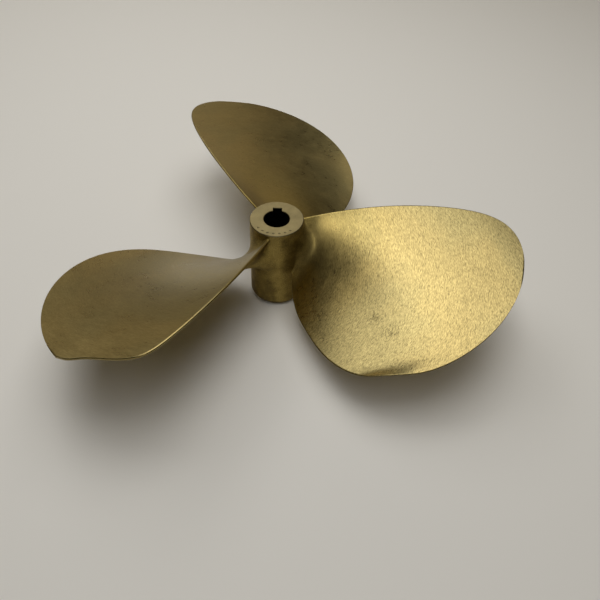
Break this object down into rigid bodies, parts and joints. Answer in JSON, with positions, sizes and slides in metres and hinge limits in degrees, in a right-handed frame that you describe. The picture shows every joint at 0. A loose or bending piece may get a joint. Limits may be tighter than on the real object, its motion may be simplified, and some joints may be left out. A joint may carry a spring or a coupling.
{
  "type": "boat propeller",
  "caption": "Fixed-pitch right-hand boat propeller in bronze: broad skewed blades on a slim hub with a keyed taper bore, for an inboard shaft.",
  "frame": {"origin": "on the shaft axis, at the hub's forward face, which is the face it stands on", "axes": "+Z along the shaft axis towards the aft end of the hub; +Y through the middle of the keyway; +X to the right of it"},
  "size_m": [0.3746, 0.352, 0.0907],
  "materials": {
    "hub_bronze": "cast barrel, turned aft face",
    "blade_bronze": "ground and brushed, lightly tarnished"
  },
  "bodies": {
    "root": {"hub": "hub_bronze", "blade_1": "blade_bronze", "blade_2": "blade_bronze", "blade_3": "blade_bronze"}
  },
  "joints": []
}
